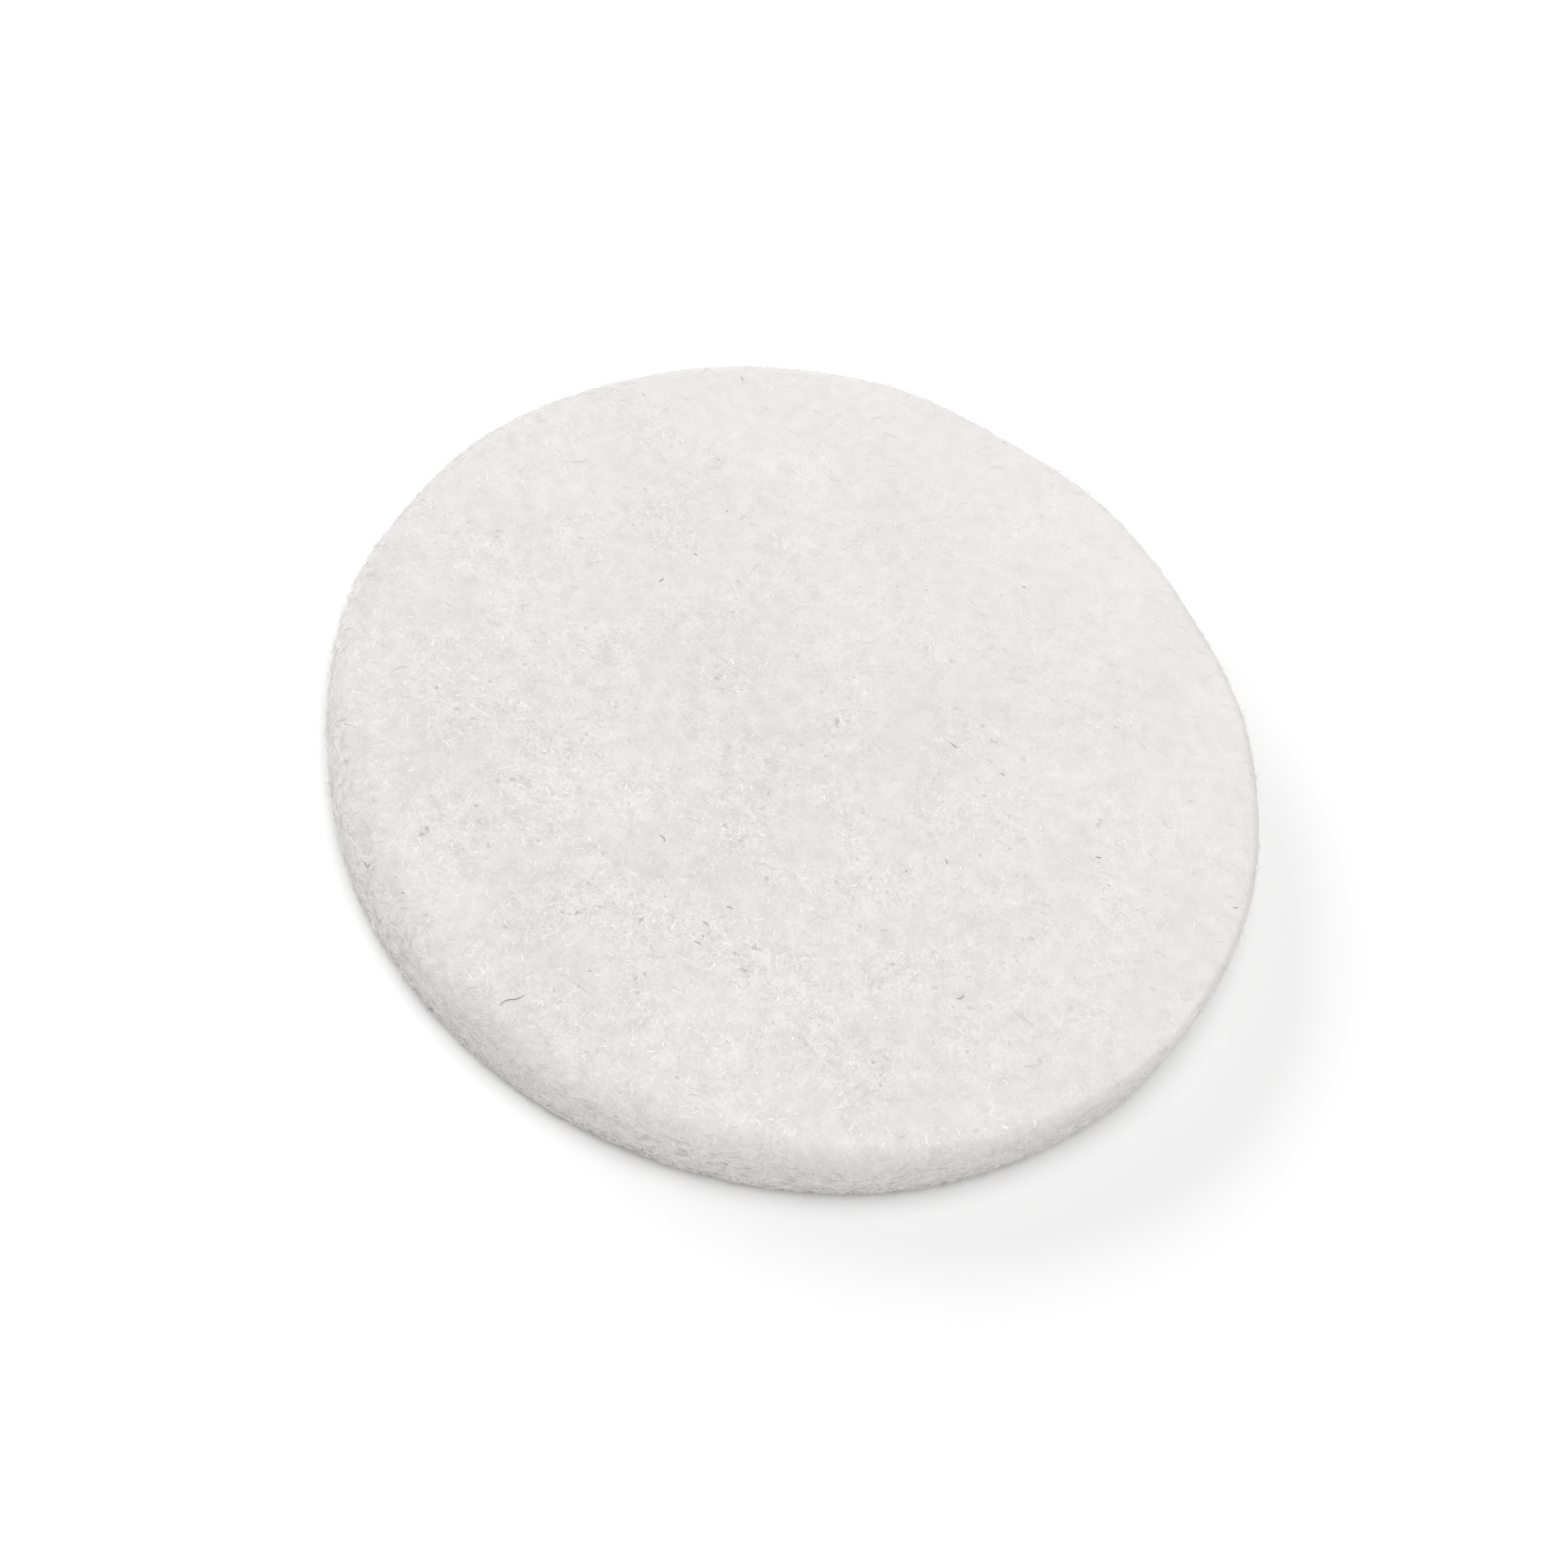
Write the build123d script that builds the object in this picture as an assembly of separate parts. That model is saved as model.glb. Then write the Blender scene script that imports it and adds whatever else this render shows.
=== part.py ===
from build123d import *

import os

# Self-adhesive felt polishing disc for a flat polishing plate.
#
# Three round layers, punched out together, so all have the same diameter:
#   felt_disc      pressed wool felt, the working layer
#   adhesive_film  double-coated tape that bonds the felt to the plate
#   release_liner  siliconised paper, peeled off before the disc is stuck down
#
# Millimetres. The disc lies on its back with the working face up. The origin is the
# centre of the liner's underside, and +Z points out of the working face.

# Driving dimensions
DISC_DIAMETER = 76.2          # 3 in
TOTAL_THICKNESS = 6.35        # 1/4 in over all three layers
ADHESIVE_THICKNESS = 0.10
LINER_THICKNESS = 0.12
WORKING_EDGE_RADIUS = 1.8     # the corner between the face and the rim, rounded by the punch and by wear

# Worked out from them
disc_radius = DISC_DIAMETER / 2
adhesive_underside = LINER_THICKNESS
felt_underside = LINER_THICKNESS + ADHESIVE_THICKNESS
felt_thickness = TOTAL_THICKNESS - felt_underside


def punched_layer(underside, thickness):
    """A flat layer of the full diameter, from the given height upwards."""
    blank = Cylinder(disc_radius, thickness, align=(Align.CENTER, Align.CENTER, Align.MIN))
    return Pos(0, 0, underside) * blank


def felt_disc():
    """The felt, with a square back edge and a soft working edge."""
    blank = punched_layer(felt_underside, felt_thickness)
    working_edge = blank.edges().group_by(Axis.Z)[-1]
    return fillet(working_edge, WORKING_EDGE_RADIUS)


def adhesive_film():
    """The tape between the felt and the liner."""
    return punched_layer(adhesive_underside, ADHESIVE_THICKNESS)


def release_liner():
    """The paper that covers the adhesive, and that the disc lies on."""
    return punched_layer(0, LINER_THICKNESS)


nodes = {
    "felt_disc": felt_disc(),
    "adhesive_film": adhesive_film(),
    "release_liner": release_liner(),
}

os.makedirs("parts", exist_ok=True)
for name, solid in nodes.items():
    solid.label = name
    export_step(solid, f"parts/{name}.step")
    print(name, round(solid.volume, 1), "mm3")
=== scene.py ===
import math

import bpy
import numpy as np
from mathutils import Matrix, Vector, noise


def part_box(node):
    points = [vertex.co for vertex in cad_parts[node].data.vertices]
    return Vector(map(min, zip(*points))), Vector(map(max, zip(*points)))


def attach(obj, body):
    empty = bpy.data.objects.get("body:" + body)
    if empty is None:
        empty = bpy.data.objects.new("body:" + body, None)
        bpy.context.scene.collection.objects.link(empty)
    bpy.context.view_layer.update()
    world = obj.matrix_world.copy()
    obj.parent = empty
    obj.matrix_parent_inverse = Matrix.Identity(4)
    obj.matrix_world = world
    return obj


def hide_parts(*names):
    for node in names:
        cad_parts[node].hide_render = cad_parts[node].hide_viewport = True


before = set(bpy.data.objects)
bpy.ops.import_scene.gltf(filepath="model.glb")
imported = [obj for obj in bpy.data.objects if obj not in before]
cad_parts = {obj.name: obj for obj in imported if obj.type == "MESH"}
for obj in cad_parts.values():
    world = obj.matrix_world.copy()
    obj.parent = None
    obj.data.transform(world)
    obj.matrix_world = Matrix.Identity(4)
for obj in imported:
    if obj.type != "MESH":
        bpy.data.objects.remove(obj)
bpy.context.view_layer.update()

# A felt polishing disc, lying on its back. Metres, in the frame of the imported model: the
# disc's axis is Z, its working face looks up and its release liner rests on Z = 0.

MM = 0.001

felt_low, felt_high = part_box("felt_disc")
tape_low, tape_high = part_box("adhesive_film")
liner_low, liner_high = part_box("release_liner")

RADIUS = (felt_high[0] - felt_low[0]) / 2
FACE_Z = felt_high[2]
BACK_Z = felt_low[2]


# ---------------------------------------------------------------- outline and profile

# The punched outline isn't quite round: (lobes round the rim, height, turn in degrees).
OUTLINE_LOBES = (
    (3, 0.10 * MM, 103),
    (4, 0.08 * MM, 88),
    (5, 0.08 * MM, 27),
    (6, 0.04 * MM, 57),
    (8, 0.06 * MM, 15),
    (9, 0.06 * MM, 24),
    (11, 0.07 * MM, 29),
    (12, 0.05 * MM, 4),
)
OUTLINE_INSET = 0.06 * MM    # the outline's middle radius is this much less than the CAD's
SHOULDER = 1.8 * MM          # radius of the soft working edge
SHOULDER_SWING = 0.30        # the share by which it changes round the rim
SOFTEST_SIDE = 195           # where the edge is softest, in degrees
SHARPEST_SIDE = -22          # where it is least worn, in degrees
SHARPENING = 0.45            # the share by which it is tighter there
SHARP_FALLOFF = 4            # the higher, the shorter the tighter part of the rim
WALL_BULGE = 0.10 * MM       # the cut wall stands out a little at half its height
FOOT_TUCK = 0.32 * MM        # how far the wall turns in at its foot
FOOT_SHARE = 0.15            # the part of the wall's height over which it does


def outline(angle):
    """How far the rim is from the axis, by its angle round the disc."""
    reach = RADIUS - OUTLINE_INSET
    for lobes, height, turn in OUTLINE_LOBES:
        reach = reach + height * np.cos(lobes * (angle - math.radians(turn)))
    return reach


def shoulder(angle):
    """Radius of the working edge, by the angle round the disc."""
    swing = SHOULDER_SWING * np.cos(angle - math.radians(SOFTEST_SIDE))
    near = np.clip(np.cos(angle - math.radians(SHARPEST_SIDE)), 0, 1)
    return SHOULDER * (1 + swing - SHARPENING * near ** SHARP_FALLOFF)


def unrolled_reach(angle):
    """Distance from the centre to the foot of the wall, measured along the surface."""
    edge = shoulder(angle)
    return outline(angle) - edge + edge * math.pi / 2 + FACE_Z - BACK_Z - edge


def base_surface(angle, travel):
    """The smooth felt surface: places and outward normals.

    travel is the distance from the centre along the surface: over the flat face, round
    the shoulder and down the wall.
    """
    edge = shoulder(angle)
    flat = outline(angle) - edge
    turn = np.clip((travel - flat) / edge, 0, math.pi / 2)
    drop = np.clip(travel - flat - edge * math.pi / 2, 0, None)
    share = np.clip(drop / (FACE_Z - BACK_Z - edge), 0, 1)
    bulge = WALL_BULGE * np.sin(math.pi * share)
    foot = np.clip((share - 1 + FOOT_SHARE) / FOOT_SHARE, 0, 1)
    tuck = FOOT_TUCK * (1 - np.sqrt(1 - foot ** 2))
    out = np.minimum(travel, flat) + edge * np.sin(turn) + bulge - tuck
    up = FACE_Z - edge * (1 - np.cos(turn)) - drop
    point = np.stack([out * np.cos(angle), out * np.sin(angle), up], axis=-1)
    normal = np.stack(
        [np.sin(turn) * np.cos(angle), np.sin(turn) * np.sin(angle), np.cos(turn)], axis=-1
    )
    return point, normal


# ---------------------------------------------------------------- relief of the felt

# Hills and hollows of the pressed fibres: (size, height).
FACE_RELIEF = (
    (9.0 * MM, 0.050 * MM),
    (2.6 * MM, 0.030 * MM),
    (1.1 * MM, 0.026 * MM),
    (0.6 * MM, 0.016 * MM),
)
PIT_SIZE = 1.5 * MM
PIT_DEPTH = 0.10 * MM
PIT_START = 0.34             # the noise above which a pit begins
PIT_SHIFT = Vector((31, 7, 3))   # the pits come from another part of the noise
LAYER_HEIGHT = 0.9 * MM      # the webs that the felt was laid in show as faint lines on the wall
LAYER_DEPTH = 0.05 * MM
LAYER_SHAPE = 0.25           # a web's height over its length
PATCH_SIZE = 5 * MM          # how far apart the tangled and the smooth patches are


def relief(points, wallness):
    """How far the felt stands above or below its smooth surface at each point."""
    heights = np.empty(len(points))
    for i, (place, wall) in enumerate(zip(points, wallness)):
        here = Vector(place)
        height = 0.0
        for size, depth in FACE_RELIEF:
            height += depth * noise.noise(here / size)
        pit = noise.noise(here / PIT_SIZE + PIT_SHIFT)
        height -= PIT_DEPTH * max(0.0, pit - PIT_START) / (1 - PIT_START)
        if wall > 0:
            layer = Vector((here.x * LAYER_SHAPE, here.y * LAYER_SHAPE, here.z)) / LAYER_HEIGHT
            height += wall * LAYER_DEPTH * noise.noise(layer)
        heights[i] = height
    return heights


def felt_surface(angle, travel):
    """The felt surface with its relief."""
    point, normal = base_surface(angle, travel)
    wallness = 1 - normal[:, 2]
    height = relief(point, wallness)
    return point + normal * height[:, None], normal


def tangle(x, y):
    """How tangled the felt is from place to place, about -1 to 1."""
    return np.array([noise.noise(Vector((a, b, 0)) / PATCH_SIZE) for a, b in zip(x, y)])


# ---------------------------------------------------------------- mesh helpers

def new_piece(name, points, faces, finish, smooth=True):
    """A mesh object from arrays of points and faces."""
    mesh = bpy.data.meshes.new(name)
    mesh.from_pydata([tuple(p) for p in points], [], faces)
    mesh.validate()
    if smooth:
        mesh.polygons.foreach_set("use_smooth", [True] * len(mesh.polygons))
    mesh.materials.append(finish)
    mesh.update()
    piece = bpy.data.objects.new(name, mesh)
    bpy.context.scene.collection.objects.link(piece)
    return piece


def add_values(piece, name, values):
    """Store a number at each point of a piece, for its material to read."""
    column = piece.data.attributes.new(name, "FLOAT", "POINT")
    column.data.foreach_set("value", values)


def disc_grid(cells):
    """Even points over the unit disc, from a square grid bent round, and its rim in order.

    Each square ring of the grid becomes a circle of the same half width.
    """
    side = np.linspace(-1, 1, cells + 1)
    a, b = np.meshgrid(side, side, indexing="ij")
    wide = np.abs(a) > np.abs(b)
    with np.errstate(divide="ignore", invalid="ignore"):
        turn_a = np.where(a != 0, math.pi / 4 * b / a, 0)
        turn_b = np.where(b != 0, math.pi / 2 - math.pi / 4 * a / b, 0)
    reach = np.where(wide, a, b)
    turn = np.where(wide, turn_a, turn_b)
    x = (reach * np.cos(turn)).ravel()
    y = (reach * np.sin(turn)).ravel()
    index = np.arange((cells + 1) ** 2).reshape(cells + 1, cells + 1)
    quads = np.stack(
        [index[:-1, :-1], index[1:, :-1], index[1:, 1:], index[:-1, 1:]], axis=-1
    ).reshape(-1, 4)
    rim = np.concatenate(
        [index[-1, :-1], index[::-1, -1][:-1], index[0, ::-1][:-1], index[:, 0][:-1]]
    )
    return x, y, quads, rim


# ---------------------------------------------------------------- node helpers

def material(name):
    """A new node material: itself, its tree and its Principled shader."""
    made = bpy.data.materials.new(name)
    made.use_nodes = True
    return made, made.node_tree, made.node_tree.nodes["Principled BSDF"]


def fill(tree, target, inputs):
    """Give a node its input values or links."""
    for key, value in inputs.items():
        if isinstance(value, bpy.types.NodeSocket):
            tree.links.new(value, target.inputs[key])
        else:
            target.inputs[key].default_value = value


def node(tree, kind, inputs=None, **settings):
    """A shader node with its settings and its input values or links."""
    made = tree.nodes.new(kind)
    for key, value in settings.items():
        setattr(made, key, value)
    fill(tree, made, inputs or {})
    return made


def math_node(tree, operation, *values):
    """A maths node's output."""
    return node(tree, "ShaderNodeMath", dict(enumerate(values)), operation=operation).outputs[0]


def vector_node(tree, operation, *values):
    """A vector maths node's output."""
    return node(tree, "ShaderNodeVectorMath", dict(enumerate(values)), operation=operation).outputs[0]


def scaled(tree, vector, factor):
    """A vector or colour times a number."""
    made = node(tree, "ShaderNodeVectorMath", {0: vector, "Scale": factor}, operation="SCALE")
    return made.outputs[0]


def towards(tree, place, side):
    """How far a place lies towards a side of the disc, in metres."""
    made = node(tree, "ShaderNodeVectorMath", {0: place, 1: side}, operation="DOT_PRODUCT")
    return made.outputs["Value"]


def distance(tree, place):
    """How far a place is from the middle of the underside, in metres."""
    return node(tree, "ShaderNodeVectorMath", {0: place}, operation="LENGTH").outputs["Value"]


def product(tree, first, second):
    """Two numbers multiplied."""
    return math_node(tree, "MULTIPLY", first, second)


def centred(tree, value):
    """Noise with its middle value, 0.5, taken off."""
    return math_node(tree, "SUBTRACT", value, 0.5)


def summed(tree, start, *terms):
    """start plus each (value, weight) of the terms."""
    total = start
    for value, weight in terms:
        total = math_node(tree, "MULTIPLY_ADD", value, weight, total)
    return total


def remap(tree, value, from_low, from_high, to_low, to_high):
    """A value carried from one range to another, and held there."""
    made = node(
        tree,
        "ShaderNodeMapRange",
        {
            "Value": value,
            "From Min": from_low,
            "From Max": from_high,
            "To Min": to_low,
            "To Max": to_high,
        },
        clamp=True,
    )
    return made.outputs["Result"]


def mixed(tree, share, first, second):
    """Two colours mixed by a share."""
    made = node(tree, "ShaderNodeMix", {0: share, 6: first, 7: second}, data_type="RGBA")
    return made.outputs[2]


def place_of(tree):
    """The place on the object, in metres."""
    return node(tree, "ShaderNodeTexCoord").outputs["Object"]


def height_of(tree, vector):
    """The upward part of a vector."""
    return node(tree, "ShaderNodeSeparateXYZ", {"Vector": vector}).outputs["Z"]


def shifted(tree, place):
    """The same place in another part of the noise."""
    return vector_node(tree, "ADD", place, (0.31, 0.17, 0.05))


def stored(tree, name):
    """A number that add_values has stored on the mesh."""
    return node(tree, "ShaderNodeAttribute", attribute_name=name).outputs["Fac"]


def noise_value(tree, place, size, detail=2.0, distortion=0.0, roughness=0.5):
    """Noise whose features are about size metres across."""
    made = node(
        tree,
        "ShaderNodeTexNoise",
        {
            "Vector": place,
            "Scale": 1 / size,
            "Detail": detail,
            "Roughness": roughness,
            "Distortion": distortion,
        },
    )
    return made.outputs["Fac"]


def bump(tree, height, strength, depth):
    """A normal from a height of 0 to 1, which stands for depth metres."""
    made = node(tree, "ShaderNodeBump", {"Strength": strength, "Distance": depth, "Height": height})
    return made.outputs["Normal"]


# ---------------------------------------------------------------- the felt's material

FELT_COLOUR = (0.757, 0.728, 0.721)
SMOOTH_PAINTED_LIGHT_SIDE = (0.34, 0.94, 0.0)         # the felt is smoother towards this side, and painted light makes it a little paler there
PAINTED_EDGE_SHADE_SIDE = (-0.98, -0.17, 0.0)     # painted shade darkens its edge on this side, where the side lamp lights it
PAINTED_EDGE_SHADE_SHARE = -0.11                  # the share by which the painted shade darkens it
STREAK_TURNS = (0, 33, 71, 108, 147)   # the ways that the streaks of fibre run, in degrees
STREAK_DRIFT_SIZE = 2.2 * MM           # how far apart the bends of the streaks are
STREAK_DRIFT = (2.0 * MM, 2.0 * MM, 0.4 * MM)   # and how far they bend them


def curved_place(tree, place):
    """Places moved about a little, so that straight streaks come out curved."""
    drift = node(
        tree, "ShaderNodeTexNoise", {"Vector": place, "Scale": 1 / STREAK_DRIFT_SIZE, "Detail": 1.0}
    )
    offset = vector_node(tree, "SUBTRACT", drift.outputs["Color"], (0.5, 0.5, 0.5))
    return vector_node(tree, "MULTIPLY_ADD", offset, STREAK_DRIFT, place)


def streaks(tree, place, length, width, least, most):
    """Short curved streaks that run several ways over the felt.

    They are noise drawn out to the length and width, 0 where it is least or under and 1
    where it is most or over.
    """
    curved = curved_place(tree, place)
    strongest = 0.0
    for turn in STREAK_TURNS:
        turned = node(
            tree,
            "ShaderNodeVectorRotate",
            {"Vector": curved, "Angle": math.radians(turn)},
            rotation_type="Z_AXIS",
        )
        drawn = vector_node(
            tree, "MULTIPLY", turned.outputs[0], (1 / length, 1 / width, 1 / width)
        )
        streak = remap(tree, noise_value(tree, drawn, size=1.0, detail=1.0), least, most, 0.0, 1.0)
        strongest = math_node(tree, "MAXIMUM", strongest, streak)
    return strongest


def painted_edge_shade(tree, place):
    """How much painted shade darkens the edge on its side, 0 to 1."""
    return product(
        tree,
        remap(tree, towards(tree, place, PAINTED_EDGE_SHADE_SIDE), 0.1 * RADIUS, 0.85 * RADIUS, 0.0, 1.0),
        remap(tree, distance(tree, place), 0.945 * RADIUS, 0.985 * RADIUS, 0.0, 1.0),
    )


def texture_strength(tree, place, wall):
    """How strongly the felt's texture shows.

    It shows more in the tangled patches, less towards the smooth side and the rim, and most
    on the cut wall.
    """
    by_side = remap(tree, towards(tree, place, SMOOTH_PAINTED_LIGHT_SIDE), -RADIUS, RADIUS, 1.25, 0.25)
    by_patch = remap(tree, stored(tree, "tangle"), -0.35, 0.35, 0.6, 1.5)
    by_reach = remap(tree, distance(tree, place), 0.72 * RADIUS, 0.93 * RADIUS, 1.0, 0.6)
    on_face = product(tree, product(tree, by_side, by_patch), by_reach)
    return math_node(tree, "MAXIMUM", on_face, product(tree, wall, 1.8))


def mottled_patches(tree, place, mottle, wall):
    """Light and dark patches, fainter on the wall and towards the smooth side."""
    evenness = product(
        tree,
        remap(tree, wall, 0.0, 1.0, 1.0, 0.5),
        remap(tree, towards(tree, place, SMOOTH_PAINTED_LIGHT_SIDE), -RADIUS, RADIUS, 1.15, 0.55),
    )
    return product(tree, centred(tree, mottle), evenness)


def foot_specks_and_shade(tree, place, up):
    """Painted shade at the foot of the wall, in small dark specks and longer lumps."""
    near_foot = remap(tree, up, BACK_Z + 0.9 * MM, BACK_Z + 2.4 * MM, 1.0, 0.0)
    drawn_out = vector_node(tree, "MULTIPLY", place, (0.5, 0.5, 1.0))
    lump_noise = noise_value(tree, drawn_out, size=0.40 * MM, detail=2)
    speck_noise = noise_value(tree, shifted(tree, place), size=0.26 * MM, detail=1)
    lumps = remap(tree, lump_noise, 0.46, 0.66, 0.0, 1.0)
    specks = remap(tree, speck_noise, 0.52, 0.66, 0.0, 1.0)
    return product(tree, near_foot, summed(tree, lumps, (specks, 1.6)))


def felt_texture(tree, place, strength):
    """The felt's grain, pale streaks, dark gaps and pits, each at the given strength."""
    grain = noise_value(tree, place, size=0.32 * MM, detail=2, roughness=0.6)
    pale_streaks = streaks(tree, place, length=1.3 * MM, width=0.15 * MM, least=0.60, most=0.74)
    elsewhere = shifted(tree, place)
    gaps = streaks(tree, elsewhere, length=0.45 * MM, width=0.18 * MM, least=0.66, most=0.80)
    pit_noise = noise_value(tree, place, size=0.75 * MM, detail=1)
    pits = remap(tree, pit_noise, 0.69, 0.79, 0.0, 1.0)
    return [product(tree, part, strength) for part in (grain, pale_streaks, gaps, pits)]


def broad_shades(tree, place, up):
    """What changes slowly over the felt, painted light and shade among it: (value, share by which it
    lightens the felt).
    """
    clouds = noise_value(tree, place, size=9 * MM, detail=3)
    middle = remap(tree, distance(tree, place), 0.25 * RADIUS, 0.95 * RADIUS, 1.0, -0.3)
    painted_light_gradient = remap(tree, towards(tree, place, SMOOTH_PAINTED_LIGHT_SIDE), -RADIUS, RADIUS, -1.0, 1.0)
    foot = remap(tree, up, BACK_Z, BACK_Z + 4.0 * MM, 1.0, 0.0)
    return (
        (centred(tree, clouds), 0.13),
        (middle, -0.024),
        # painted light: the felt is lighter towards the smooth side
        (painted_light_gradient, 0.045),
        # painted shade: the wall darkens towards its foot, where the floor shades it
        (foot, -0.08),
        (painted_edge_shade(tree, place), PAINTED_EDGE_SHADE_SHARE),
        # painted shade at the very foot, drawn as dark specks and lumps
        (foot_specks_and_shade(tree, place, up), -0.26),
    )


def felt_material():
    """Pressed off-white wool: mottled, streaked with fine fibres, with small dark hollows.

    Painted shade darkens its edge on one side and the foot of its wall, the foot in dark specks and
    lumps.
    """
    made, tree, shader = material("felt")
    place = place_of(tree)
    up = height_of(tree, place)
    wall = remap(tree, up, FACE_Z - SHOULDER, FACE_Z - 0.3 * SHOULDER, 1.0, 0.0)
    strength = texture_strength(tree, place, wall)
    grain, pale_streaks, gaps, pits = felt_texture(tree, place, strength)
    mottle = noise_value(tree, place, size=1.5 * MM, detail=3, roughness=0.6)
    tufts = noise_value(tree, shifted(tree, place), size=0.9 * MM, detail=1)
    shade = summed(
        tree,
        1.0,
        (mottled_patches(tree, place, mottle, wall), 0.30),
        (product(tree, centred(tree, tufts), strength), 0.16),
        (summed(tree, grain, (strength, -0.5)), 0.25),
        (pale_streaks, 0.09),
        # painted shade: the gaps and pits, which the bump sinks, are darker
        (gaps, -0.12),
        (pits, -0.25),
        *broad_shades(tree, place, up),
    )
    height = summed(tree, mottle, (grain, 0.8), (pale_streaks, 0.5), (gaps, -0.2), (pits, -0.9))
    fill(
        tree,
        shader,
        {
            "Base Color": scaled(tree, FELT_COLOUR, shade),
            "Roughness": remap(tree, mottle, 0.3, 0.7, 0.95, 0.80),
            "Normal": bump(tree, height, strength=0.5, depth=0.05 * MM),
            "Specular IOR Level": 0.12,
            "Sheen Weight": 0.35,
            "Sheen Roughness": 0.5,
        },
    )
    return made


# ---------------------------------------------------------------- the other materials

def fibre_material(name, dark, light, specular=0.4, roughness=0.45):
    """Wool fibres, each with a tone of its own that drifts a little along it."""
    made, tree, shader = material(name)
    place = place_of(tree)
    drift = noise_value(tree, place, size=0.9 * MM, detail=2)
    share = summed(tree, product(tree, drift, 0.5), (stored(tree, "tone"), 0.5))
    tone = mixed(tree, remap(tree, share, 0.25, 0.75, 0.0, 1.0), dark, light)
    fill(
        tree,
        shader,
        {
            # the fibres on that edge get the same painted shade
            "Base Color": scaled(tree, tone, summed(tree, 1.0, (painted_edge_shade(tree, place), PAINTED_EDGE_SHADE_SHARE))),
            "Roughness": remap(tree, drift, 0.3, 0.7, roughness + 0.15, roughness),
            "Specular IOR Level": specular,
            "Sheen Weight": 0.2,
        },
    )
    return made


TAPE_CLEAN = (0.42, 0.40, 0.36, 1)
TAPE_LINTED = (0.22, 0.21, 0.20, 1)


def tape_material():
    """Clear acrylic tape seen at its edge, greyed by the lint that sticks to it."""
    made, tree, shader = material("adhesive")
    lint = noise_value(tree, place_of(tree), size=0.5 * MM, detail=3)
    fill(
        tree,
        shader,
        {
            "Base Color": mixed(tree, remap(tree, lint, 0.4, 0.65, 0.0, 1.0), TAPE_CLEAN, TAPE_LINTED),
            "Roughness": remap(tree, lint, 0.4, 0.65, 0.3, 0.7),
            "Normal": bump(tree, lint, strength=0.4, depth=0.03 * MM),
        },
    )
    return made


LINER_DARK = (0.60, 0.57, 0.52, 1)
LINER_LIGHT = (0.70, 0.67, 0.62, 1)
LINER_FIBRE = (0.50, 0.47, 0.42, 1)


def fibre_lines(tree, place, size, width):
    """Thin curved lines, where smooth noise passes its middle value: 1 on a line."""
    swirl = noise_value(tree, place, size, detail=1.0, distortion=1.0)
    away = math_node(tree, "ABSOLUTE", centred(tree, swirl))
    return remap(tree, away, 0.0, width, 1.0, 0.0)


def liner_material():
    """Siliconised glassine paper: smooth, faintly cloudy, with short paper fibres."""
    made, tree, shader = material("liner")
    place = place_of(tree)
    cloud = noise_value(tree, place, size=3 * MM, detail=4)
    lines = fibre_lines(tree, place, size=0.9 * MM, width=0.03)
    paper = mixed(tree, remap(tree, cloud, 0.3, 0.7, 0.0, 1.0), LINER_DARK, LINER_LIGHT)
    fill(
        tree,
        shader,
        {
            "Base Color": mixed(tree, product(tree, lines, 0.25), paper, LINER_FIBRE),
            "Roughness": remap(tree, cloud, 0.3, 0.7, 0.35, 0.5),
            "Normal": bump(tree, lines, strength=0.2, depth=0.02 * MM),
        },
    )
    return made


# ---------------------------------------------------------------- the felt body

FELT_CELLS = 300
FOOT_INSET = 0.12 * MM       # how far the underside's edge is set in from the foot of the wall


def felt_body(finish):
    """The felt: face, shoulder and wall in one skin, closed under the tucked-in foot."""
    x, y, quads, rim = disc_grid(FELT_CELLS)
    angle = np.arctan2(y, x)
    travel = np.hypot(x, y) * unrolled_reach(angle)
    top, _ = felt_surface(angle, travel)
    top[:, 2] = np.maximum(top[:, 2], BACK_Z)
    foot = top[rim].copy()
    foot[:, 2] = BACK_Z
    foot[:, :2] *= 1 - FOOT_INSET / RADIUS
    points = np.concatenate([top, foot])
    count = len(rim)
    under = len(top) + np.arange(count)
    after = np.roll(np.arange(count), -1)
    band = np.stack([rim, under, under[after], rim[after]], axis=-1)
    faces = quads.tolist() + band.tolist() + [under[::-1].tolist()]
    body = new_piece("felt_body", points, faces, finish)
    tangled = tangle(travel * np.cos(angle), travel * np.sin(angle))
    add_values(body, "tangle", np.r_[tangled, tangled[rim]])
    return body


# ---------------------------------------------------------------- fibres

TRIES = 3                    # places drawn for each fibre that is kept
MOSTLY_SHORT = (1.2, 3.0)    # the two shape values of a beta distribution, for the lengths
MOSTLY_LOW = (1.0, 3.0)      # and for the lifts
FOOT_MARGIN = 0.15 * MM      # no fibre comes closer to the foot of the wall
RIM_SPREAD = 0.8             # how far, in radians, a rim fibre's heading is from the rim's
SUNK = 0.8                   # how far a strand's ends are sunk, as a share of its half height
ARCHED = 1.1                 # how much higher its middle is, as a share of the same
TIP = 0.35                   # a strand's thickness at its tips, as a share of its middle's
GOLDEN = (math.sqrt(5) - 1) / 2   # its multiples spread the strands' tones evenly
TINY = 1e-12                 # keeps a vector of no length from dividing by zero


def between(limits, share):
    """The values at a share of the way between two limits."""
    return limits[0] + (limits[1] - limits[0]) * share


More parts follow.
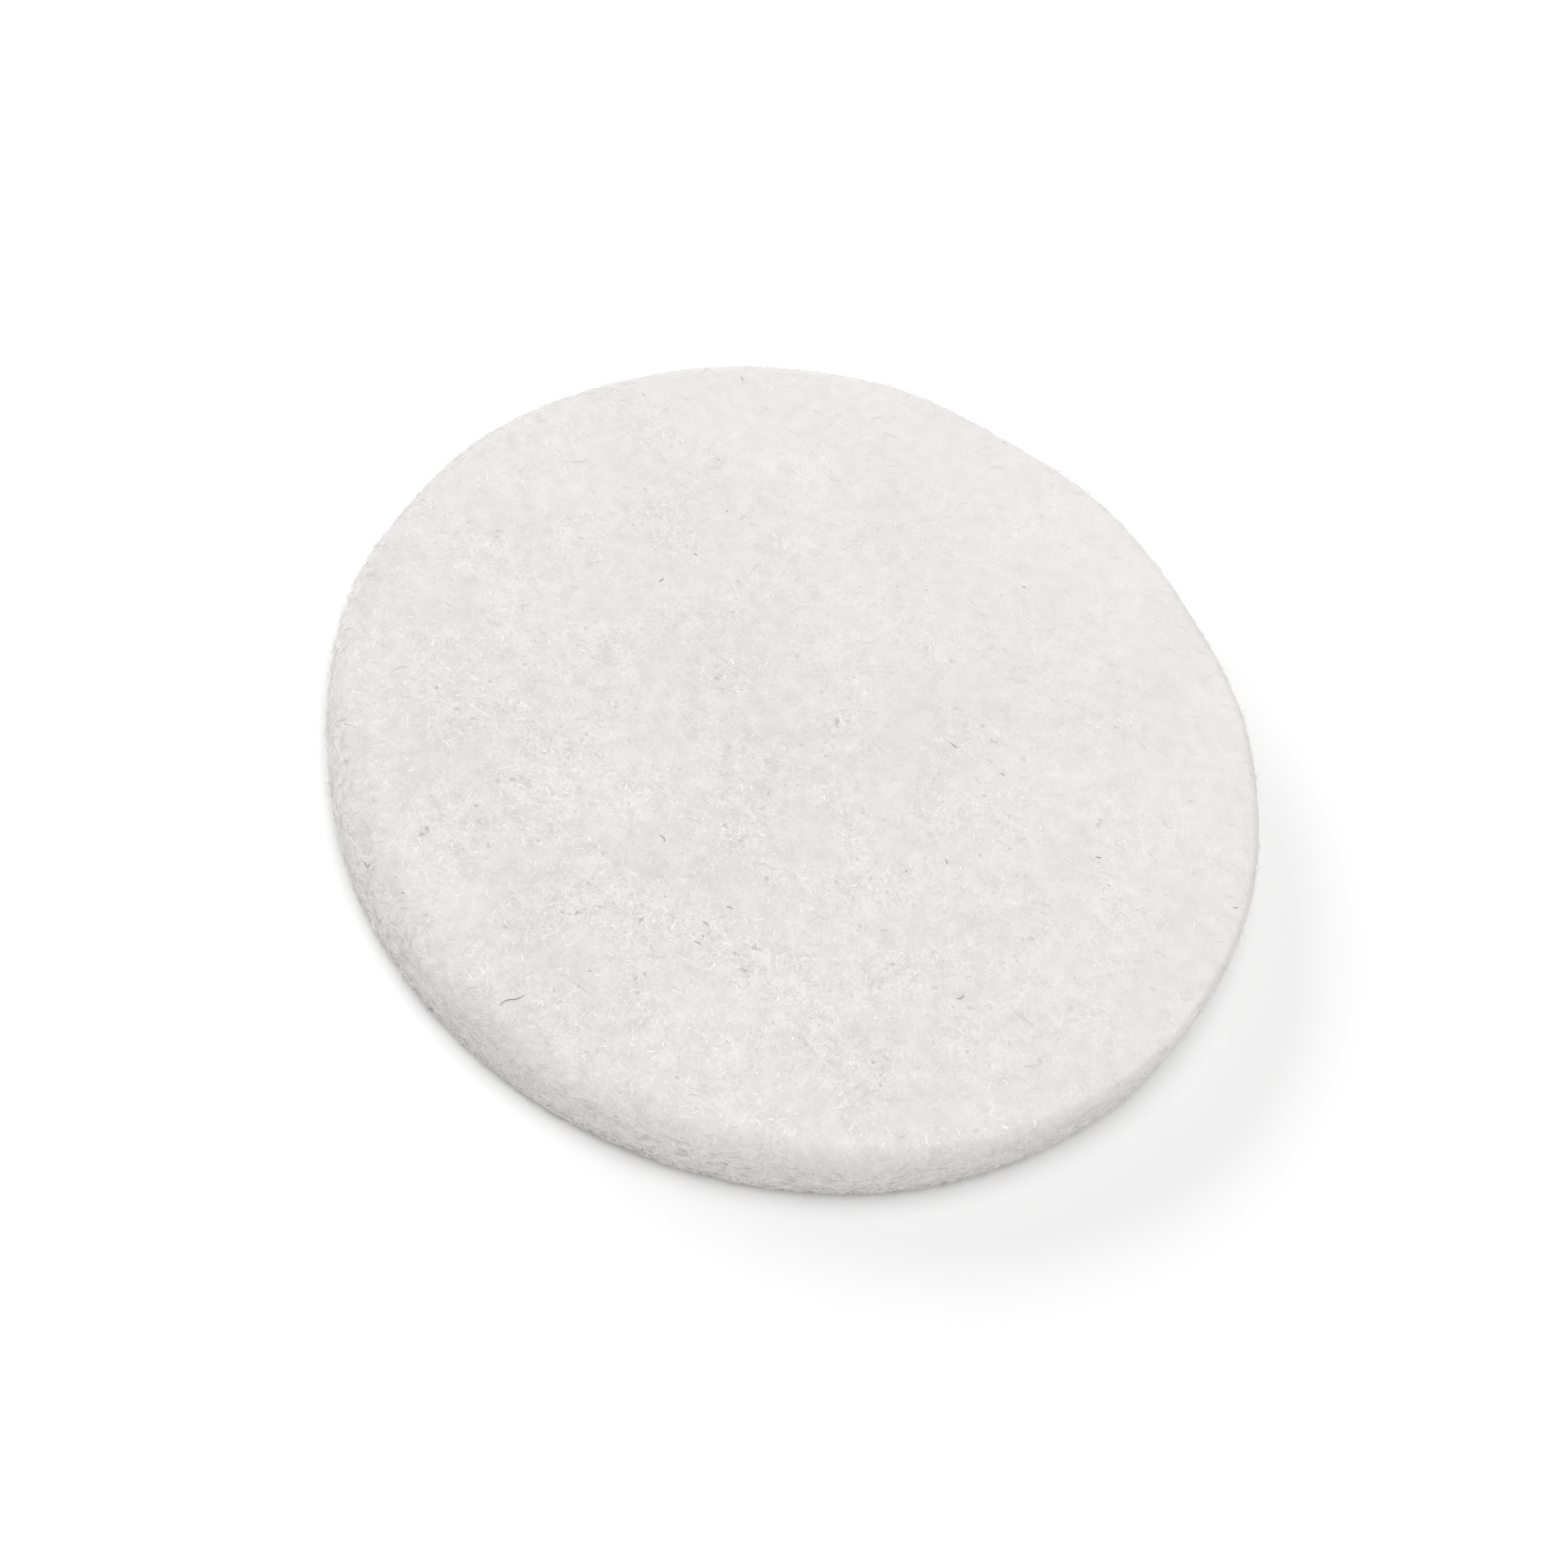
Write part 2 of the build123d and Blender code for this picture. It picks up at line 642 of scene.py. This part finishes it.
def fibre_starts(rng, count, zone, patchy, lean):
    """Where the fibres start on the unrolled felt: x, y and the angle round the disc."""
    tries = TRIES * count
    area = rng.uniform(zone[0] ** 2, zone[1] ** 2, tries)
    angle = rng.uniform(0, 2 * math.pi, tries)
    reach = np.sqrt(area) * unrolled_reach(angle)
    x = reach * np.cos(angle)
    y = reach * np.sin(angle)
    side = (x * SMOOTH_PAINTED_LIGHT_SIDE[0] + y * SMOOTH_PAINTED_LIGHT_SIDE[1]) / RADIUS
    kept = np.argsort(rng.random(tries) - patchy * tangle(x, y) + lean * side)[:count]
    return x[kept], y[kept], angle[kept]


def on_felt(x, y):
    """Places on the felt and its normals there, from places on the unrolled felt."""
    angle = np.arctan2(y, x)
    travel = np.minimum(np.hypot(x, y), unrolled_reach(angle) - FOOT_MARGIN)
    place, normal = felt_surface(angle.ravel(), travel.ravel())
    return place.reshape(x.shape + (3,)), normal.reshape(x.shape + (3,))


def wander(rng, x, y, heading, bend, wave, long, steps):
    """Paths over the unrolled felt: x and y, each with one row for every fibre.

    At each step a fibre turns by its bend and, at random, by about the wave.
    """
    path_x, path_y = [x], [y]
    for _ in range(steps):
        heading = heading + bend + rng.normal(0, wave, len(x))
        x = x + np.cos(heading) * long / steps
        y = y + np.sin(heading) * long / steps
        path_x.append(x)
        path_y.append(y)
    return np.stack(path_x, axis=1), np.stack(path_y, axis=1)


def strands(
    name, rng, count, finish, length, thick, lift=(0.0, 0.0), zone=(0.0, 1.0), curl=0.6, steps=5,
    wave=0.18, flatness=0.45, along_rim=False, patchy=0.0, lean=0.0, free=False,
):
    """Fibres that lie on the felt, each a thin tapered strand.

    length, thick and lift are (least, most) in metres; zone is the part of the way from
    the centre to the foot of the wall where the fibres start. curl is how much a strand
    turns over its length, and wave how much more it turns at random at each of its steps,
    both in radians. flatness is a strand's height over its width. patchy is how strongly
    the fibres gather in patches, and lean how strongly towards the rougher side, away from
    SMOOTH_PAINTED_LIGHT_SIDE. A free fibre stands off the felt at its far end; the others do so at their
    middles.
    """
    x, y, start_angle = fibre_starts(rng, count, zone, patchy, lean)
    long = between(length, rng.beta(*MOSTLY_SHORT, count))
    heading = rng.uniform(0, 2 * math.pi, count)
    if along_rim:
        heading = start_angle + math.pi / 2 + rng.normal(0, RIM_SPREAD, count)
    bend = rng.normal(0, curl, count) / steps
    raised = between(lift, rng.beta(*MOSTLY_LOW, count))
    half = between(thick, rng.random(count)) / 2
    ground, normal = on_felt(*wander(rng, x, y, heading, bend, wave, long, steps))
    along = np.linspace(0, 1, steps + 1)[None, :, None]
    arch = np.sin(math.pi * along)
    rise = along if free else arch
    proud = raised[:, None, None] * rise + half[:, None, None] * flatness * (ARCHED * arch - SUNK)
    return tubes(name, ground + normal * proud, normal, half, flatness, finish)


def tubes(name, centre, normal, half, flatness, finish):
    """One mesh of three-sided strands along rows of points.

    half is half of each strand's width, and flatness its height over its width.
    """
    count, knots = centre.shape[:2]
    ahead = np.gradient(centre, axis=1)
    ahead /= np.linalg.norm(ahead, axis=2, keepdims=True) + TINY
    side = np.cross(ahead, normal)
    side /= np.linalg.norm(side, axis=2, keepdims=True) + TINY
    over = np.cross(side, ahead)
    along = np.linspace(0, 1, knots)[None, :, None]
    taper = (TIP + (1 - TIP) * np.sin(math.pi * along) ** 0.5) * half[:, None, None]
    rings = []
    for corner in range(3):
        turn = math.pi / 2 + corner * 2 * math.pi / 3
        rings.append(centre + taper * (over * math.sin(turn) * flatness + side * math.cos(turn)))
    points = np.stack(rings, axis=2).reshape(-1, 3)
    start = np.arange(count) * knots * 3
    faces = []
    for knot in range(knots - 1):
        for corner in range(3):
            here = start + knot * 3 + corner
            beside = start + knot * 3 + (corner + 1) % 3
            faces.append(np.stack([here, beside, beside + 3, here + 3], axis=-1))
    sides = np.concatenate(faces).tolist()
    end = start + (knots - 1) * 3
    caps = np.stack([start + 2, start + 1, start], axis=-1).tolist()
    caps += np.stack([end, end + 1, end + 2], axis=-1).tolist()
    made = new_piece(name, points, sides + caps, finish, smooth=False)
    add_values(made, "tone", np.repeat(np.arange(count) * GOLDEN % 1.0, knots * 3))
    return made


# Single dark hairs caught in the felt: (x, y) in millimetres, heading in degrees, length in
# millimetres, and how far each bends and then bends on or back, in degrees.
STRAY_HAIRS = (
    (-13, -34, 95, 2.1, -70, 40),
    (-27, -27, -60, 0.9, 20, 150),
    (-16, 7, 10, 0.6, 60, 20),
    (-14, 11, 150, 0.4, 20, 40),
    (-17, 31, 80, 0.5, 50, 10),
    (11, 3, 20, 0.7, -60, 60),
    (16, 2, 130, 0.4, 30, 0),
    (-7, -16, 60, 0.8, 90, 30),
    (-2, -23, -20, 0.7, 40, -90),
    (14, -8, 100, 0.5, 20, 60),
    (18, -19, 0, 0.8, 50, 50),
    (25, -2, 45, 0.5, -40, 30),
)
HAIR_HALF = 0.024 * MM       # half of such a hair's thickness
HAIR_STEPS = 12
HAIR_ENDS = 0.4              # how far its ends lie above the felt, in its half thicknesses
HAIR_ARCH = 1.2              # how much further its middle does


def hair_path(x, y, heading, length, bend, back):
    """A stray hair's points on the unrolled felt, in metres."""
    half_way = HAIR_STEPS // 2
    turns = np.r_[np.full(half_way, bend), np.full(half_way, back)] / half_way
    ways = np.radians(heading + np.cumsum(turns))
    run = np.cumsum(np.stack([np.cos(ways), np.sin(ways)], axis=1), axis=0) * length / HAIR_STEPS
    return np.concatenate([[[x, y]], run + (x, y)]) * MM


def stray_hairs(name, finish):
    """The single dark hairs, each a curved strand whose middle stands a little proud."""
    path = np.array([hair_path(*hair) for hair in STRAY_HAIRS])
    ground, normal = on_felt(path[..., 0], path[..., 1])
    arch = np.sin(math.pi * np.linspace(0, 1, HAIR_STEPS + 1))[None, :, None]
    centre = ground + normal * HAIR_HALF * (HAIR_ENDS + HAIR_ARCH * arch)
    half = np.full(len(path), HAIR_HALF)
    return tubes(name, centre, normal, half, 1.0, finish)


# ---------------------------------------------------------------- tape and liner

EDGE_POINTS = 720            # points round a film's edge
EDGE_ROUGHNESS = 0.012 * MM
EDGE_BULGE = 0.01 * MM       # the edge stands out a little at half its height
TAPE_INSET = 0.34 * MM       # the tape and the liner are set in from the felt's outline
LINER_INSET = 0.22 * MM
TAPE_SEED = 3
LINER_SEED = 4


def thin_layer(name, low, high, inset, finish, seed):
    """A punched film with the felt's outline, a slightly rough edge and flat faces."""
    count = EDGE_POINTS
    angle = np.linspace(0, 2 * math.pi, count, endpoint=False)
    rough = np.random.default_rng(seed).normal(0, EDGE_ROUGHNESS, count)
    reach = outline(angle) - inset + rough
    rings = []
    for z, bulge in ((high, 0.0), ((low + high) / 2, EDGE_BULGE), (low, 0.0)):
        out = reach + bulge
        rings.append(np.stack([out * np.cos(angle), out * np.sin(angle), np.full(count, z)], axis=-1))
    points = np.concatenate(rings)
    here = np.arange(count)
    after = np.roll(here, -1)
    faces = [here.tolist()]
    for level in range(2):
        upper = level * count
        lower = upper + count
        faces += np.stack([here + upper, here + lower, after + lower, after + upper], axis=-1).tolist()
    faces.append((here[::-1] + 2 * count).tolist())
    return new_piece(name, points, faces, finish, smooth=False)


# ---------------------------------------------------------------- putting it together

felt = felt_body(felt_material())
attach(felt, "root")
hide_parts("felt_disc")

tape = thin_layer("tape_edge", tape_low[2], tape_high[2], TAPE_INSET, tape_material(), TAPE_SEED)
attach(tape, "root")
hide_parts("adhesive_film")

liner = thin_layer("paper_liner", liner_low[2], liner_high[2], LINER_INSET, liner_material(), LINER_SEED)
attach(liner, "root")
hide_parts("release_liner")

# The fibres' finishes: a dark and a light tone, how glossy, how rough.
pale = fibre_material("pale_fibre", (0.73, 0.70, 0.69, 1), (0.86, 0.84, 0.83, 1), 0.2, 0.55)
cut = fibre_material("cut_fibre", (0.56, 0.54, 0.53, 1), (0.95, 0.93, 0.92, 1), 0.2, 0.55)
# The bright fibres' near-white colour is partly painted glint; their gloss gives the rest.
bright = fibre_material("bright_fibre", (0.84, 0.83, 0.82, 1), (1.0, 0.99, 0.98, 1), 0.55, 0.30)
dark = fibre_material("dark_fibre", (0.03, 0.026, 0.024, 1), (0.10, 0.09, 0.08, 1))
grey = fibre_material("grey_lint", (0.06, 0.06, 0.058, 1), (0.34, 0.335, 0.33, 1), 0.2, 0.6)

MATTED = dict(
    length=(0.4 * MM, 4.0 * MM), thick=(0.04 * MM, 0.08 * MM), zone=(0.0, 0.93), flatness=0.25,
    patchy=0.4,
)
PIECES = {
    "face_fibres_1": dict(count=5600, finish=pale, **MATTED),
    "face_fibres_2": dict(count=5600, finish=pale, **MATTED),
    "face_fibres_3": dict(count=5600, finish=pale, **MATTED),
    "bright_fibres": dict(
        count=2200, finish=bright, length=(0.15 * MM, 1.4 * MM), thick=(0.05 * MM, 0.11 * MM),
        lift=(0.0, 0.02 * MM), zone=(0.0, 0.85), flatness=0.25, patchy=1.4, lean=1.2, curl=1.2, wave=0.5,
    ),
    "rim_fibres": dict(
        count=5600, finish=pale, length=(0.4 * MM, 2.5 * MM), thick=(0.04 * MM, 0.07 * MM),
        lift=(0.0, 0.02 * MM), zone=(0.84, 0.995), flatness=0.35, along_rim=True,
    ),
    "wall_fibres": dict(
        count=5600, finish=cut, length=(0.6 * MM, 4.0 * MM), thick=(0.05 * MM, 0.10 * MM),
        lift=(0.0, 0.03 * MM), zone=(0.89, 0.997), flatness=0.45, along_rim=True,
    ),
    "edge_fuzz": dict(
        count=4200, finish=pale, length=(0.5 * MM, 2.4 * MM), thick=(0.02 * MM, 0.035 * MM),
        lift=(0.10 * MM, 0.70 * MM), zone=(0.86, 0.995), curl=1.2, steps=6, wave=0.35,
        flatness=1.0, free=True,
    ),
    "loose_fibres": dict(
        count=700, finish=pale, length=(0.6 * MM, 3.0 * MM), thick=(0.02 * MM, 0.035 * MM),
        lift=(0.02 * MM, 0.25 * MM), zone=(0.0, 0.98), curl=1.5, steps=8, wave=0.3, flatness=1.0,
    ),
    "foot_lint": dict(
        count=420, finish=grey, length=(0.15 * MM, 0.8 * MM), thick=(0.06 * MM, 0.13 * MM),
        lift=(0.0, 0.02 * MM), zone=(0.972, 0.999), curl=1.2, steps=5, wave=0.5, flatness=0.5,
    ),
    "dark_hairs": dict(
        count=28, finish=dark, length=(0.12 * MM, 0.9 * MM), thick=(0.03 * MM, 0.05 * MM),
        lift=(0.01 * MM, 0.05 * MM), zone=(0.0, 0.93), curl=1.6, steps=10, wave=0.35, flatness=0.9,
    ),
}
FIBRE_SEED = 20

rng = np.random.default_rng(FIBRE_SEED)
fibres = [strands(name, rng, **kind) for name, kind in PIECES.items()]
fibres.append(stray_hairs("stray_hairs", dark))
for piece in fibres:
    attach(piece, "root")


# ---------------------------------------------------------------- floor, light and camera

FLOOR_REACH = 0.165          # beyond it the white of the studio takes over without an edge
FLOOR_COLOUR = (0.977, 0.977, 0.977, 1)
WALLS_TOP = 0.30             # the sine of the angle that the studio's white walls reach up to
CEILING_FROM = 0.50          # and of the angle where its dimmer ceiling starts
WALL_LIGHT = 1.03
CEILING_LIGHT = 0.30
CAMERA_ELEVATION = math.radians(55.9)
CAMERA_ROLL = math.radians(22.3)
CAMERA_REACH = 4.95 * RADIUS
CAMERA_LENS = 52.5           # on a sensor 36 mm wide
AIM_RIGHT = -0.0255 * RADIUS
AIM_UP = -0.0495 * RADIUS


def floor():
    """A plain pale round floor."""
    bpy.ops.mesh.primitive_circle_add(vertices=128, radius=FLOOR_REACH, fill_type="NGON")
    plane = bpy.context.object
    plane.name = "floor"
    made, tree, shader = material("floor")
    fill(
        tree, shader, {"Base Color": FLOOR_COLOUR, "Roughness": 0.9, "Specular IOR Level": 0.0}
    )
    plane.data.materials.append(made)


def lamp_place(reach, azimuth, elevation):
    """A lamp's place, by its distance and its direction from the disc in degrees."""
    across = reach * math.cos(math.radians(elevation))
    return (
        across * math.cos(math.radians(azimuth)),
        across * math.sin(math.radians(azimuth)),
        reach * math.sin(math.radians(elevation)),
    )


def area_light(name, place, size, power):
    """A soft oval lamp aimed at the disc; size is its (width, height)."""
    lamp = bpy.data.lights.new(name, "AREA")
    lamp.shape = "ELLIPSE"
    lamp.size, lamp.size_y = size
    lamp.energy = power
    made = bpy.data.objects.new(name, lamp)
    made.location = place
    made.rotation_euler = (-Vector(place)).to_track_quat("-Z", "Y").to_euler()
    bpy.context.scene.collection.objects.link(made)


def studio():
    """Even white walls round the floor, under a dimmer ceiling."""
    world = bpy.data.worlds.new("studio")
    world.use_nodes = True
    tree = world.node_tree
    up = height_of(tree, node(tree, "ShaderNodeTexCoord").outputs["Generated"])
    light = remap(tree, up, WALLS_TOP, CEILING_FROM, WALL_LIGHT, CEILING_LIGHT)
    fill(tree, tree.nodes["Background"], {"Color": (1, 1, 1, 1), "Strength": light})
    bpy.context.scene.world = world


def place_camera():
    """The camera, above the disc's near side and rolled, so that the disc slopes to the right."""
    back = Vector((0, -math.cos(CAMERA_ELEVATION), math.sin(CAMERA_ELEVATION)))
    level_right = Vector((1, 0, 0))
    level_up = back.cross(level_right)
    right = level_right * math.cos(CAMERA_ROLL) + level_up * math.sin(CAMERA_ROLL)
    up = level_up * math.cos(CAMERA_ROLL) - level_right * math.sin(CAMERA_ROLL)
    target = right * AIM_RIGHT + up * AIM_UP
    lens = bpy.data.cameras.new("camera")
    lens.lens = CAMERA_LENS
    lens.sensor_width = 36
    lens.clip_start = 0.01
    lens.clip_end = 20
    made = bpy.data.objects.new("camera", lens)
    turn = Matrix((right, up, back)).transposed().to_4x4()
    made.matrix_world = Matrix.Translation(target + back * CAMERA_REACH) @ turn
    bpy.context.scene.collection.objects.link(made)
    bpy.context.scene.camera = made


floor()
# Straight above: lights the face and leaves the wall darker.
area_light(
    "overhead", lamp_place(reach=1.10, azimuth=252, elevation=87), size=(0.90, 0.90), power=6.80
)
# Low on the left and behind: casts the soft shadow to the right.
area_light("side", lamp_place(reach=2.00, azimuth=158, elevation=29), size=(1.80, 0.72), power=15.5)
studio()
bpy.context.scene.view_settings.view_transform = "Standard"
place_camera()
